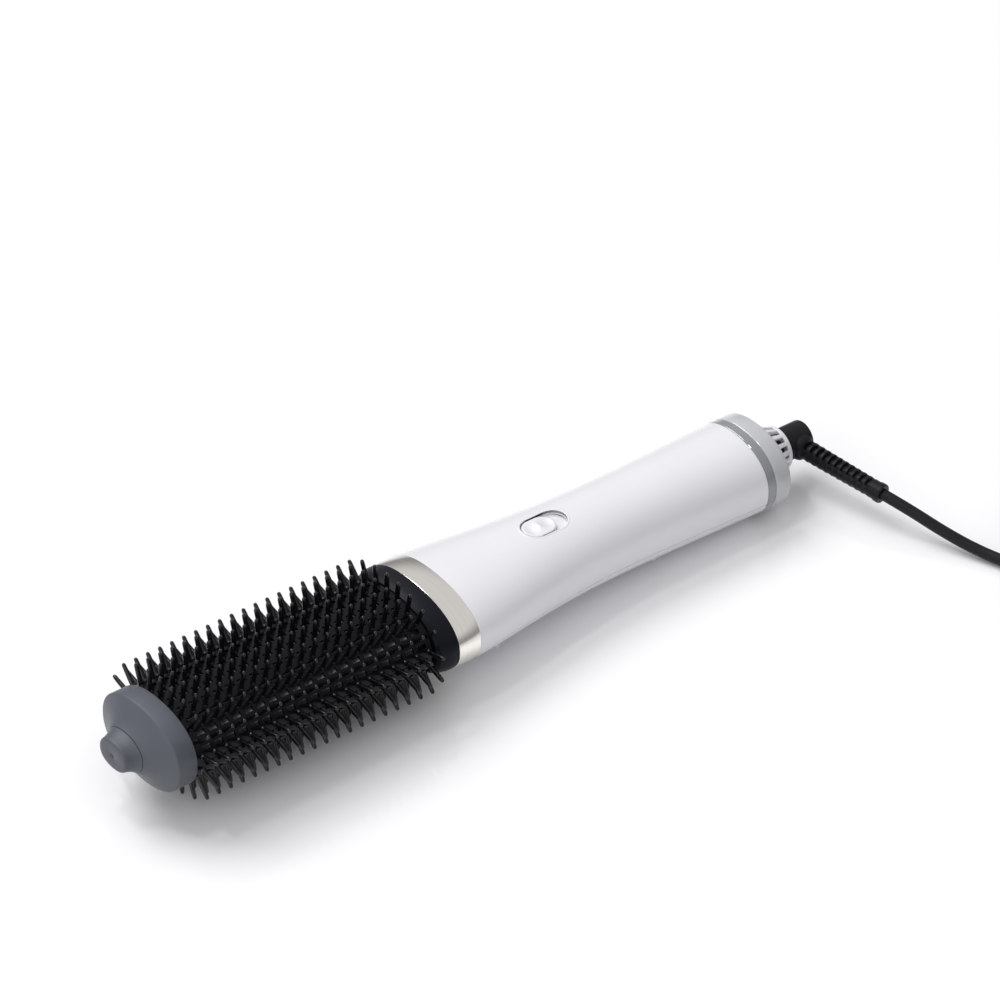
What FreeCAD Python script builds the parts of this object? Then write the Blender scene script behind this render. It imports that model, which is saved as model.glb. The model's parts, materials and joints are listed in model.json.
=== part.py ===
import FreeCAD, Part
import math
import os
from FreeCAD import Vector

# Hot air brush, in millimetres.
# The pieces are made about the handle's axis: x runs from the nose at 0 to the cord's elbow,
# z is up through the switch. REST then tips the whole object as it lies on a table, on the
# bristles beneath the collar and on the rear cap, with its origin beneath the box's centre.

REST_TILT = 2.3             # degrees, nose up
REST_X = -190.85            # the nose's place along X once tipped
REST_Z = 33.25              # the nose's height once tipped

OVAL_POWER = 2.2            # 2 is an ellipse, more is squarer
OVAL_POINTS = 24

NOSE_DEPTH = 4.4
CAP_RIM = 15.2
CAP_REAR = 25.0
COLLAR_FRONT = 152.0
COLLAR_REAR = 162.0
BAND_REAR = 174.0
HANDLE_REAR = 341.6
TRIM_RING_REAR = 346.0
REAR_CAP_REAR = 355.0
GRILLE_REAR = 367.5
ELBOW_REAR = 382.0

NOSE = (9.6, 7.0)           # half width and half height of each oval
CAP = (27.6, 19.2)
BARREL = (27.4, 16.4)
BAND = (33.0, 18.4)
REAR = (24.6, 19.0)
HANDLE = [                  # station, half width, half height
    (BAND_REAR, 32.8, 18.3),
    (184.0, 31.8, 18.3),
    (200.0, 29.4, 18.4),
    (216.0, 26.9, 18.5),
    (233.0, 24.7, 18.6),
    (252.0, 23.2, 18.7),
    (275.0, 22.7, 18.8),
    (305.0, 23.4, 18.9),
    (HANDLE_REAR, 24.6, 19.0),
]
WALL = 2.2
BARREL_WALL = 1.3
PARTING = -6.0              # height of the seam between the two housings

COMBS = 20
PINS_PER_COMB = 20
PIN_PITCH = 6.4
FIRST_PIN = 28.2
PIN_LENGTH = 10.8
PIN_DEPTH = 0.7             # how far a pin reaches into its strip
PIN_ROOT_R = 1.1
PIN_TIP_R = 0.8
COMB_WIDTH = 5.4
COMB_FOOT_WIDTH = 4.3
COMB_DEPTH = 2.3

HEATER_FRONT = 180.0
HEATER_REAR = 221.4
SLEEVE_R = 14.8
COIL_R = 11.0
COIL_WIRE_R = 0.6
COIL_TURNS = 9

SWITCH_X = 233.4
SWITCH_LENGTH = 23.0
SWITCH_WIDTH = 13.6
SWITCH_DEPTH = 2.4
SLIDER_LENGTH = 16.2
SLIDER_TRAVEL = 5.5

DUCT_Z = -3.0
DUCT_R = 10.5
SHROUD_R = 16.2
MOTOR_R = 9.5
MOTOR_FRONT = 306.0
MOTOR_REAR = 329.0
IMPELLER_R = 15.0
IMPELLER_HUB_R = 5.5
BLADES = 9
SHAFT_R = 1.0
SHAFT_CLEARANCE = 0.05

GRILLE_R = (14.0, 10.0)
GRILLE_SLOTS = 16
SOCKET_R = 6.0
STUB_R = 3.5
CONTACT_R = 1.6
ELBOW_R = 7.8
BRANCH_X = 375.0

CORD_R = 2.7
RELIEF_START = 7.2
COIL_MID_R = 32.5
COIL_BUNDLE_R = 11.5
PLUG_LENGTH = 46.0
PLUG_WIDTH = 37.0
PLUG_HEIGHT = 26.0
PLUG_PIN_R = 2.4
PLUG_PIN_LENGTH = 19.0
PLUG_PIN_SPACING = 19.0
PLUG_TANG_R = 1.6
PLUG_TANG_LENGTH = 8.0

# The cord's route in the resting frame, chosen by hand.
CORD_ROUTE = [
    (195.4, -49.6, 13.6),
    (199.6, -63.6, 11.3),
    (204.6, -78.6, 7.2),
    (210.4, -94.6, 3.9),
    (217.2, -111.8, 2.75),
    (224.8, -129.6, 2.75),
    (232.2, -145.0, 2.75),
]
COIL_CENTRE = (269.1, -127.3)
PLUG_BACK = (320.5, -87.5, 13.0)
LEAD_ROUTE = [
    (307.8, -135.5, 18.5),
    (311.0, -119.5, 17.6),
    (315.2, -103.0, 15.2),
    PLUG_BACK,
]

X_AXIS = Vector(1, 0, 0)
Y_AXIS = Vector(0, 1, 0)
Z_AXIS = Vector(0, 0, 1)
ORIGIN = Vector(0, 0, 0)


def power(value, exponent):
    return math.copysign(abs(value) ** exponent, value)


def oval_point(x, size, angle):
    """A point of the superellipse of half width size[0] and half height size[1]."""
    y = size[0] * power(math.cos(angle), 2.0 / OVAL_POWER)
    z = size[1] * power(math.sin(angle), 2.0 / OVAL_POWER)
    return Vector(x, y, z)


def oval_wire(x, size):
    curve = Part.BSplineCurve()
    step = 2.0 * math.pi / OVAL_POINTS
    points = [oval_point(x, size, step * i) for i in range(OVAL_POINTS)]
    curve.interpolate(Points=points, PeriodicFlag=True)
    return Part.Wire([curve.toShape()])


def inset(size, wall):
    return (size[0] - wall, size[1] - wall)


def oval_bar(x0, x1, size):
    return Part.Face(oval_wire(x0, size)).extrude(X_AXIS * (x1 - x0))


def oval_tube(x0, x1, size, wall):
    return oval_bar(x0, x1, size).cut(oval_bar(x0 - 1.0, x1 + 1.0, inset(size, wall)))


def oval_loft(sections):
    return Part.makeLoft([oval_wire(x, (a, b)) for x, a, b in sections], True, False)


def rod(x0, x1, radius, y=0.0, z=0.0):
    return Part.makeCylinder(radius, x1 - x0, Vector(x0, y, z), X_AXIS)


def pipe(x0, x1, outer, inner, y=0.0, z=0.0):
    return rod(x0, x1, outer, y, z).cut(rod(x0 - 1.0, x1 + 1.0, inner, y, z))


def block(x0, x1, y0, y1, z0, z1):
    return Part.makeBox(x1 - x0, y1 - y0, z1 - z0, Vector(x0, y0, z0))


def turned(shape, angle, centre=ORIGIN, axis=X_AXIS):
    copy = shape.copy()
    copy.rotate(centre, axis, angle)
    return copy


def group(shapes):
    return Part.makeCompound(shapes)


def one_solid(shape):
    """The single solid inside a boolean's result."""
    return shape.Solids[0] if len(shape.Solids) == 1 else shape


# ---- brush head ----

def nose_insert():
    tip = oval_loft([(0.0, 9.3, 6.7), (0.7, NOSE[0], NOSE[1]), (NOSE_DEPTH, 10.0, 7.4)])
    stem = rod(NOSE_DEPTH, 12.0, 3.0)
    return tip.fuse(stem)


def end_cap():
    dish = oval_loft([
        (NOSE_DEPTH, 10.2, 7.6),
        (7.0, 11.6, 8.7),
        (9.6, 14.2, 10.6),
        (11.8, 18.2, 13.2),
        (13.4, 22.8, 16.2),
        (CAP_RIM, CAP[0] - 0.2, CAP[1] - 0.2),
    ])
    band = oval_bar(CAP_RIM, CAP_REAR, CAP)
    pocket = oval_bar(17.0, CAP_REAR + 1.0, inset(BARREL, BARREL_WALL))
    stem_hole = rod(NOSE_DEPTH - 1.0, 12.0, 3.0)
    return dish.fuse(band).cut(pocket).cut(stem_hole)


def cap_retainer():
    """The carrier inside the cap and the barrel's mouth, where the tie rod screws in."""
    size = inset(BARREL, BARREL_WALL + COMB_DEPTH)
    disc = oval_bar(17.5, 31.0, inset(size, 0.3))
    return disc.cut(rod(17.0, 32.0, 1.6))


def comb_frames():
    """Place, outward normal and sideways direction of each comb, evenly spaced round the barrel."""
    fine = 2880
    ring = [oval_point(0.0, BARREL, 2.0 * math.pi * i / fine) for i in range(fine + 1)]
    run = [0.0]
    for before, after in zip(ring, ring[1:]):
        run.append(run[-1] + (after - before).Length)
    frames = []
    index = 0
    for comb in range(COMBS):
        target = run[-1] * (comb + 0.5) / COMBS
        while run[index] < target:
            index += 1
        along = ring[index] - ring[index - 1]
        along.normalize()
        frames.append((ring[index], along.cross(X_AXIS), along))
    return frames


def comb_strip(frames, comb, x0, x1, grow):
    """The tapered strip under a comb's pins; grow makes the slot that it fits."""
    place, normal, along = frames[comb]
    top = 0.1 + grow
    half = COMB_WIDTH / 2.0 + 0.6 * grow
    foot = COMB_FOOT_WIDTH / 2.0 + 0.6 * grow
    corners = [(-half, top), (half, top), (foot, -COMB_DEPTH - grow), (-foot, -COMB_DEPTH - grow)]
    points = [place + along * side + normal * rise + X_AXIS * x0 for side, rise in corners]
    outline = Part.makePolygon(points + points[:1])
    return Part.Face(outline).extrude(X_AXIS * (x1 - x0))


def bristle_comb(frames, comb):
    """One moulded comb: a strip with a row of tapered pins."""
    strip = comb_strip(frames, comb, 27.0, COLLAR_FRONT - 0.5, 0.0)
    place, normal, _ = frames[comb]
    pins = []
    for pin in range(PINS_PER_COMB):
        root = place - normal * PIN_DEPTH + X_AXIS * (FIRST_PIN + PIN_PITCH * pin)
        pins.append(Part.makeCone(PIN_ROOT_R, PIN_TIP_R, PIN_LENGTH + PIN_DEPTH, root, normal))
    return strip.multiFuse(pins)


def barrel_shells(frames):
    """The two half shells, slotted for the combs."""
    tube = oval_tube(CAP_REAR, COLLAR_REAR - 2.0, BARREL, BARREL_WALL)
    slots = [comb_strip(frames, comb, 26.9, COLLAR_FRONT - 0.4, 0.6) for comb in range(COMBS)]
    tube = tube.cut(group(slots))
    above = block(0.0, 200.0, -60.0, 60.0, 0.0, 60.0)
    below = block(0.0, 200.0, -60.0, 60.0, -60.0, 0.0)
    return tube.common(above), tube.common(below)


def inner_duct():
    """The perforated tube that spreads the air along the barrel and backs the combs."""
    size = inset(BARREL, BARREL_WALL + COMB_DEPTH + 0.9)
    tube = oval_tube(31.5, BAND_REAR - 6.0, size, 1.0)
    holes = []
    for station in range(8):
        x = 40.0 + 14.0 * station
        holes.append(Part.makeCylinder(2.0, 60.0, Vector(x, 0.0, -30.0), Z_AXIS))
        holes.append(Part.makeCylinder(2.0, 80.0, Vector(x + 7.0, -40.0, 0.0), Y_AXIS))
    return tube.cut(group(holes))


def tie_rod():
    head = rod(164.0, 166.5, 3.2)
    return rod(18.5, 164.0, 1.6).fuse(head)


def duct_spider():
    """The bridge across the barrel's rear mouth that the tie rod pulls against."""
    size = inset(BARREL, BARREL_WALL + COMB_DEPTH + 1.9)
    ring = oval_tube(158.0, 163.9, size, 1.0)
    bridge = block(158.0, 163.9, -size[0] + 0.5, size[0] - 0.5, -1.6, 1.6)
    boss = rod(158.0, 163.9, 3.6)
    return ring.fuse(bridge).fuse(boss).cut(rod(150.0, 170.0, 1.6))


def collar():
    size = inset(BAND, 0.1)
    outside = oval_loft([
        (COLLAR_FRONT, size[0] - 2.2, size[1] - 0.8),
        (COLLAR_FRONT + 1.2, size[0] - 0.9, size[1] - 0.3),
        (COLLAR_FRONT + 3.4, size[0] - 0.1, size[1] - 0.05),
        (COLLAR_REAR, size[0], size[1]),
    ])
    seat = oval_bar(COLLAR_FRONT - 1.0, COLLAR_REAR - 1.9, inset(BARREL, -0.02))
    mouth = oval_bar(COLLAR_REAR - 4.0, COLLAR_REAR + 1.0, inset(BARREL, BARREL_WALL + 1.0))
    return outside.cut(seat).cut(mouth)


def trim_band():
    return oval_tube(COLLAR_REAR, BAND_REAR, BAND, WALL)


# ---- handle ----

def stadium(length, width, z0, z1):
    """An upright prism with round ends, long along x, about the switch's centre."""
    half = (length - width) / 2.0
    middle = block(SWITCH_X - half, SWITCH_X + half, -width / 2.0, width / 2.0, z0, z1)
    ends = []
    for side in (-1.0, 1.0):
        base = Vector(SWITCH_X + side * half, 0.0, z0)
        ends.append(Part.makeCylinder(width / 2.0, z1 - z0, base, Z_AXIS))
    return middle.multiFuse(ends).removeSplitter()


def handle_outer():
    return oval_loft(HANDLE)


def handle_inner():
    sections = [(x, a - WALL, b - WALL) for x, a, b in HANDLE]
    first = sections[0]
    last = sections[-1]
    sections[0] = (first[0] - 0.5, first[1], first[2])
    sections[-1] = (last[0] + 0.5, last[1], last[2])
    return oval_loft(sections)


SCREW_PLACES = [(190.0, 22.5), (190.0, -22.5), (284.0, 15.2), (284.0, -15.2)]


def screw_posts(z0, z1):
    return [Part.makeCylinder(2.8, z1 - z0, Vector(x, y, z0), Z_AXIS) for x, y in SCREW_PLACES]


def screw_holes(z0, z1, radius):
    holes = [Part.makeCylinder(radius, z1 - z0, Vector(x, y, z0), Z_AXIS) for x, y in SCREW_PLACES]
    return group(holes)


def housings():
    """The upper and the lower moulded half of the handle."""
    outer = handle_outer()
    shell = outer.cut(handle_inner())
    above = block(150.0, 360.0, -60.0, 60.0, PARTING, 60.0)
    below = block(150.0, 360.0, -60.0, 60.0, -60.0, PARTING)
    lower = shell.common(below)
    posts = group(screw_posts(-18.0, PARTING)).common(outer)
    lower = lower.multiFuse(posts.Solids)
    lower = lower.cut(screw_holes(-20.0, 0.0, 1.3))
    lower = lower.cut(screw_holes(-20.0, -12.6, 2.3))
    upper = shell.common(above)
    bosses = group(screw_posts(PARTING, 18.0)).common(outer)
    upper = upper.multiFuse(bosses.Solids)
    upper = upper.cut(screw_holes(-8.0, 2.0, 1.3))
    top = HANDLE[4][2]
    frame = stadium(SWITCH_LENGTH + 4.0, SWITCH_WIDTH + 4.0, top - SWITCH_DEPTH - 1.4, top - 1.0)
    upper = upper.fuse(frame.common(outer))
    upper = upper.cut(stadium(SWITCH_LENGTH, SWITCH_WIDTH, top - SWITCH_DEPTH, top + 3.0))
    slot_x = SWITCH_X - SLIDER_TRAVEL / 2.0
    slot = block(slot_x - 4.0, slot_x + 4.0 + SLIDER_TRAVEL, -2.6, 2.6, 8.0, 19.0)
    return one_solid(upper.cut(slot)), one_solid(lower)


def housing_screws():
    screws = []
    for x, y in SCREW_PLACES:
        shank = Part.makeCylinder(1.3, 13.6, Vector(x, y, -12.6), Z_AXIS)
        head = Part.makeCylinder(2.3, 1.8, Vector(x, y, -14.4), Z_AXIS)
        screws.append(shank.fuse(head))
    return group(screws)


def switch_slider():
    """The thumb slider: a low pad with two finger lobes and a stem down to the switch."""
    top = HANDLE[4][2]
    floor = top - SWITCH_DEPTH + 0.3
    centre = SWITCH_X - SLIDER_TRAVEL / 2.0
    width = SWITCH_WIDTH - 1.2
    half = (SLIDER_LENGTH - width) / 2.0
    pad = block(centre - half, centre + half, -width / 2.0, width / 2.0, floor, top - 0.1)
    for side in (-1.0, 1.0):
        base = Vector(centre + side * half, 0.0, floor)
        pad = pad.fuse(Part.makeCylinder(width / 2.0, top - 0.1 - floor, base, Z_AXIS))
    for side in (-1.0, 1.0):
        lobe_x = centre + side * 5.2
        dip = Part.makeSphere(9.0, Vector(lobe_x, 0.0, top + 7.9))
        pad = pad.cut(dip)
    stem = block(centre - 3.0, centre + 3.0, -2.0, 2.0, 14.4, floor)
    return pad.fuse(stem)


def switch_body():
    return block(SWITCH_X - 9.0, SWITCH_X + 10.0, -5.0, 5.0, 10.6, 14.1)


def control_board():
    board = block(226.4, 282.0, -11.5, 11.5, 9.0, 10.6)
    parts = [
        block(262.0, 270.0, -8.0, -1.0, 10.6, 13.4),
        block(264.0, 277.0, 1.5, 8.0, 10.6, 12.8),
        Part.makeCylinder(2.6, 3.4, Vector(256.0, 5.6, 10.6), Z_AXIS),
    ]
    return board.multiFuse(parts)


def heater_sleeve():
    return pipe(HEATER_FRONT - 2.0, HEATER_REAR + 2.0, SLEEVE_R, SLEEVE_R - 0.6)


def heater_coils():
    step = (HEATER_REAR - HEATER_FRONT - 8.0) / (COIL_TURNS - 1)
    places = [HEATER_FRONT + 4.0 + step * turn for turn in range(COIL_TURNS)]
    return [Part.makeTorus(COIL_R, COIL_WIRE_R, Vector(x, 0.0, 0.0), X_AXIS) for x in places]


def heater_frame():
    """Two crossed mica boards, notched for the heating wire."""
    reach = SLEEVE_R - 0.7
    upright = block(HEATER_FRONT, HEATER_REAR, -0.5, 0.5, -reach, reach)
    level = block(HEATER_FRONT, HEATER_REAR, -reach, reach, -0.5, 0.5)
    return upright.fuse(level).cut(group(heater_coils()))


def thermal_cutout():
    can = Part.makeCylinder(3.4, 3.6, Vector(HEATER_FRONT - 5.6, 0.0, 0.0), X_AXIS)
    tab = block(HEATER_FRONT - 2.0, HEATER_FRONT, -2.0, 2.0, -0.5, 0.5)
    return can.fuse(tab)


def air_duct():
    """The funnel and tube that carry the air under the circuit board to the heater."""
    tube = pipe(231.4, 292.0, DUCT_R, DUCT_R - 0.8, 0.0, DUCT_Z)
    start = Vector(223.6, 0.0, 0.0)
    outer = Part.makeLoft([
        Part.Wire([Part.makeCircle(SLEEVE_R, start, X_AXIS)]),
        Part.Wire([Part.makeCircle(DUCT_R, Vector(231.4, 0.0, DUCT_Z), X_AXIS)]),
    ], True)
    inner = Part.makeLoft([
        Part.Wire([Part.makeCircle(SLEEVE_R - 0.8, start, X_AXIS)]),
        Part.Wire([Part.makeCircle(DUCT_R - 0.8, Vector(231.4, 0.0, DUCT_Z), X_AXIS)]),
    ], True)
    rear_outer = Part.makeLoft([
        Part.Wire([Part.makeCircle(DUCT_R, Vector(292.0, 0.0, DUCT_Z), X_AXIS)]),
        Part.Wire([Part.makeCircle(SHROUD_R, Vector(299.8, 0.0, 0.0), X_AXIS)]),
    ], True)
    rear_inner = Part.makeLoft([
        Part.Wire([Part.makeCircle(DUCT_R - 0.8, Vector(292.0, 0.0, DUCT_Z), X_AXIS)]),
        Part.Wire([Part.makeCircle(SHROUD_R - 0.8, Vector(299.8, 0.0, 0.0), X_AXIS)]),
    ], True)
    funnel = outer.cut(inner).cut(block(220.0, 240.0, -12.0, 12.0, 8.9, 20.0))
    return tube.multiFuse([funnel, rear_outer.cut(rear_inner)])


def fan_shroud():
    return pipe(300.0, 345.0, SHROUD_R, SHROUD_R - 0.8)


def motor():
    can = rod(MOTOR_FRONT, MOTOR_REAR, MOTOR_R)
    nose = rod(MOTOR_REAR, MOTOR_REAR + 1.6, 3.0)
    terminals = [block(MOTOR_FRONT - 3.0, MOTOR_FRONT, -1.5, 1.5, z, z + 0.6) for z in (-5.6, 5.0)]
    bore = rod(MOTOR_FRONT + 4.0, MOTOR_REAR + 2.0, SHAFT_R + SHAFT_CLEARANCE)
    return can.multiFuse([nose] + terminals).cut(bore)


def motor_mount():
    sleeve = pipe(309.0, 326.0, MOTOR_R + 1.2, MOTOR_R)
    vane = block(310.0, 325.0, -0.6, 0.6, MOTOR_R + 0.6, SHROUD_R)
    vanes = [turned(vane, 90.0 * quarter + 45.0) for quarter in range(4)]
    keep = rod(300.0, 330.0, SHROUD_R - 0.8)
    return sleeve.multiFuse(vanes).common(keep)


def motor_shaft():
    return rod(MOTOR_FRONT + 4.5, 341.0, SHAFT_R)


def impeller():
    hub = rod(333.0, 341.0, IMPELLER_HUB_R)
    blade = block(333.4, 340.6, -0.5, 0.5, IMPELLER_HUB_R - 1.0, IMPELLER_R + 2.0)
    blade = turned(blade, 34.0, Vector(337.0, 0.0, 0.0), Z_AXIS)
    blades = [turned(blade, 360.0 / BLADES * i) for i in range(BLADES)]
    keep = rod(333.0, 341.0, IMPELLER_R)
    wheel = hub.multiFuse(blades).common(keep)
    return wheel.cut(rod(330.0, 345.0, SHAFT_R))


# ---- rear end ----

def rear_trim_ring():
    return oval_tube(HANDLE_REAR, TRIM_RING_REAR, REAR, WALL)


def rear_cap():
    skirt = oval_bar(TRIM_RING_REAR, REAR_CAP_REAR - 1.2, REAR)
    edge = oval_loft([
        (REAR_CAP_REAR - 1.2, REAR[0], REAR[1]),
        (REAR_CAP_REAR - 0.5, REAR[0] - 0.35, REAR[1] - 0.35),
        (REAR_CAP_REAR, REAR[0] - 1.2, REAR[1] - 1.2),
    ])
    hollow = oval_bar(TRIM_RING_REAR - 1.0, 352.5, inset(REAR, WALL))
    return skirt.fuse(edge).cut(hollow).cut(rod(350.0, 360.0, GRILLE_R[0]))


def intake_grille():
    """The slotted cone, its end wall round the cord's socket, and its inner flange."""
    wall = 1.4
    front = 350.6
    length = GRILLE_REAR - REAR_CAP_REAR
    cone = Part.makeCone(GRILLE_R[0], GRILLE_R[1], length, Vector(REAR_CAP_REAR, 0, 0), X_AXIS)
    core = Part.makeCone(GRILLE_R[0] - wall, GRILLE_R[1] - wall, length - 1.4,
                         Vector(REAR_CAP_REAR, 0, 0), X_AXIS)
    neck = pipe(front, REAR_CAP_REAR, GRILLE_R[0], GRILLE_R[0] - wall)
    flange = pipe(front, 352.4, GRILLE_R[0] + 2.0, GRILLE_R[0] - wall)
    slot = block(REAR_CAP_REAR + 2.0, GRILLE_REAR - 2.6, -1.1, 1.1, 6.0, 20.0)
    slots = [turned(slot, 360.0 / GRILLE_SLOTS * i) for i in range(GRILLE_SLOTS)]
    grille = cone.cut(core).fuse(neck).fuse(flange).cut(group(slots))
    return grille.cut(rod(360.0, 370.0, STUB_R + 0.4))


def intake_filter():
    """The washable mesh disc behind the grille."""
    disc = pipe(348.2, 349.4, 15.4, SOCKET_R + 0.2)
    holes = []
    for ring, count in ((8.4, 16), (11.0, 22), (13.6, 28)):
        for i in range(count):
            angle = 2.0 * math.pi * i / count
            y = ring * math.cos(angle)
            z = ring * math.sin(angle)
            holes.append(rod(347.0, 351.0, 0.8, y, z))
    return disc.cut(group(holes))


def swivel_socket():
    outer = rod(346.4, 365.9, SOCKET_R)
    bore = rod(355.6, 367.0, STUB_R + SHAFT_CLEARANCE)
    contact_room = rod(347.4, 356.0, STUB_R)
    return outer.cut(bore).cut(contact_room)


def socket_contact():
    return pipe(347.4, 354.4, STUB_R, CONTACT_R + SHAFT_CLEARANCE)


def swivel_pin():
    return rod(349.4, 360.0, CONTACT_R)


def cord_elbow():
    """The drum that turns in the grille, with its stub in the socket."""
    drum = rod(GRILLE_REAR + 0.3, ELBOW_REAR - 1.0, ELBOW_R)
    end = Part.makeCone(ELBOW_R, ELBOW_R - 1.0, 1.0, Vector(ELBOW_REAR - 1.0, 0, 0), X_AXIS)
    stub = rod(356.2, GRILLE_REAR + 0.3, STUB_R)
    elbow = drum.fuse(end).fuse(stub)
    return elbow.cut(rod(350.0, 360.0, CONTACT_R))


# ---- cord ----

def place(shape):
    """Tip a piece made about the handle's axis into the resting frame."""
    copy = shape.copy()
    copy.rotate(ORIGIN, Y_AXIS, REST_TILT)
    copy.translate(Vector(REST_X, 0.0, REST_Z))
    return copy


def placed_point(x, y, z):
    tilt = math.radians(REST_TILT)
    across = x * math.cos(tilt) + z * math.sin(tilt) + REST_X
    height = z * math.cos(tilt) - x * math.sin(tilt) + REST_Z
    return Vector(across, y, height)


def strain_relief():
    """The tapered, windowed sleeve between the elbow and the cord, in the resting frame."""
    start = placed_point(BRANCH_X, 0.0, 0.0)
    end = Vector(*CORD_ROUTE[0])
    direction = end - start
    reach = direction.Length
    direction.normalize()
    root = start + direction * RELIEF_START
    body = Part.makeCone(4.7, 4.0, reach - RELIEF_START - 3.0, root, direction)
    lip = Part.makeCylinder(4.3, 3.0, end - direction * 3.0, direction)
    sleeve = body.fuse(lip)
    sleeve = sleeve.cut(place(rod(365.0, 385.0, ELBOW_R)))
    side = direction.cross(X_AXIS)
    side.normalize()
    windows = []
    for step in range(9):
        centre = root + direction * (3.6 + 3.4 * step)
        for sign in (-1.0, 1.0):
            inner = centre + side * (sign * 2.9)
            windows.append(Part.makeCylinder(0.95, 3.0, inner, side * sign))
    return one_solid(sleeve.cut(group(windows)))


def route_path(points, name):
    """Straight runs joined by the largest tangent arcs that the runs allow."""
    points = [Vector(*point) for point in points]
    edges = []
    start = points[0]
    radii = []
    for before, corner, after in zip(points, points[1:], points[2:]):
        back = before - corner
        ahead = after - corner
        half_turn = (math.pi - back.getAngle(ahead)) / 2.0
        trim = 0.45 * min(back.Length, ahead.Length)
        radius = trim / math.tan(half_turn)
        back.normalize()
        ahead.normalize()
        bisector = back + ahead
        bisector.normalize()
        first = corner + back * trim
        last = corner + ahead * trim
        middle = corner + bisector * (radius / math.cos(half_turn) - radius)
        edges.append(Part.LineSegment(start, first).toShape())
        edges.append(Part.Arc(first, middle, last).toShape())
        start = last
        radii.append(round(radius, 1))
    edges.append(Part.LineSegment(start, points[-1]).toShape())
    print(name, "bend radii", radii)
    return Part.Wire(edges)


def cord_tube(points, name):
    path = route_path(points, name)
    direction = Vector(*points[1]) - Vector(*points[0])
    section = Part.Wire([Part.makeCircle(CORD_R, Vector(*points[0]), direction)])
    tube = path.makePipeShell([section], True, True)
    expected = math.pi * CORD_R ** 2 * path.Length
    print(name, "length", round(path.Length, 1), "volume ratio", round(tube.Volume / expected, 4))
    return tube


def cord_coil():
    """The outer shape of the coiled length: a ring with rounded edges, flat on the table."""
    inner = COIL_MID_R - COIL_BUNDLE_R
    outer = COIL_MID_R + COIL_BUNDLE_R
    height = 2.0 * COIL_BUNDLE_R
    ring = Part.makeCylinder(outer, height).cut(Part.makeCylinder(inner, height))
    ring = ring.makeFillet(4.0, [edge for edge in ring.Edges if edge.Curve.TypeId == "Part::GeomCircle"])
    ring.translate(Vector(COIL_CENTRE[0], COIL_CENTRE[1], 0.0))
    return ring


def plug_frame():
    """The plug's back and the direction that its pins point."""
    back = Vector(*PLUG_BACK)
    before = Vector(*LEAD_ROUTE[-2])
    direction = back - before
    direction.z = 0.0
    direction.normalize()
    return back, direction


def plug_body():
    """A contoured two-pin mains plug: a tapered grip that widens to an oval face."""
    back, direction = plug_frame()
    side = Z_AXIS.cross(direction)
    grip = [(0.0, 8.0, 6.5), (14.0, 12.0, 9.5), (30.0, 15.5, 12.0), (PLUG_LENGTH - 8.0, 18.3, 12.9)]
    wires = []
    for step, a, b in grip + [(PLUG_LENGTH, PLUG_WIDTH / 2.0, PLUG_HEIGHT / 2.0)]:
        centre = back + direction * step
        curve = Part.Ellipse(centre + side * a, centre + Z_AXIS * b, centre)
        wires.append(Part.Wire([curve.toShape()]))
    body = Part.makeLoft(wires, True, False)
    return body.cut(group(plug_tangs()))


def plug_pin_bases():
    """Where each pin's round stands on the plug's face."""
    back, direction = plug_frame()
    side = Z_AXIS.cross(direction)
    face = back + direction * PLUG_LENGTH
    return [face + side * (sign * PLUG_PIN_SPACING / 2.0) for sign in (-1.0, 1.0)]


def plug_tangs():
    """The thinner roots that hold the pins in the body."""
    direction = plug_frame()[1]
    return [Part.makeCylinder(PLUG_TANG_R, PLUG_TANG_LENGTH, base - direction * PLUG_TANG_LENGTH, direction)
            for base in plug_pin_bases()]


def plug_pins():
    """The two round pins, each on its tang."""
    direction = plug_frame()[1]
    pins = [Part.makeCylinder(PLUG_PIN_R, PLUG_PIN_LENGTH, base, direction) for base in plug_pin_bases()]
    return group([pin.fuse(tang) for pin, tang in zip(pins, plug_tangs())])


def build():
    """Every node's name and shape, in the resting frame."""
    frames = comb_frames()
    upper_barrel, lower_barrel = barrel_shells(frames)
    upper_housing, lower_housing = housings()
    nodes = {
        "nose_insert": nose_insert(),
        "end_cap": end_cap(),
        "cap_retainer": cap_retainer(),
        "upper_barrel": upper_barrel,
        "lower_barrel": lower_barrel,
        "inner_duct": inner_duct(),
        "tie_rod": tie_rod(),
        "duct_spider": duct_spider(),
        "collar": collar(),
        "trim_band": trim_band(),
        "upper_housing": upper_housing,
        "lower_housing": lower_housing,
        "housing_screws": housing_screws(),
        "switch_slider": switch_slider(),
        "switch_body": switch_body(),
        "control_board": control_board(),
        "heater_sleeve": heater_sleeve(),
        "heater_frame": heater_frame(),
        "heater_coils": group(heater_coils()),
        "thermal_cutout": thermal_cutout(),
        "air_duct": air_duct(),
        "fan_shroud": fan_shroud(),
        "motor": motor(),
        "motor_mount": motor_mount(),
        "motor_shaft": motor_shaft(),
        "impeller": impeller(),
        "rear_trim_ring": rear_trim_ring(),
        "rear_cap": rear_cap(),
        "intake_grille": intake_grille(),
        "intake_filter": intake_filter(),
        "swivel_socket": swivel_socket(),
        "socket_contact": socket_contact(),
        "swivel_pin": swivel_pin(),
        "cord_elbow": cord_elbow(),
    }
    for comb in range(COMBS):
        nodes["bristle_comb_%02d" % (comb + 1)] = bristle_comb(frames, comb)
    nodes = {name: place(shape) for name, shape in nodes.items()}
    nodes["strain_relief"] = strain_relief()
    nodes["power_cord"] = cord_tube(CORD_ROUTE, "power_cord")
    nodes["cord_coil"] = cord_coil()
    nodes["plug_lead"] = cord_tube(LEAD_ROUTE, "plug_lead")
    nodes["plug_body"] = plug_body()
    nodes["plug_pins"] = plug_pins()
    return nodes


CORD_NODES = ("strain_relief", "power_cord", "cord_coil", "plug_lead", "plug_body", "plug_pins")


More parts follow.
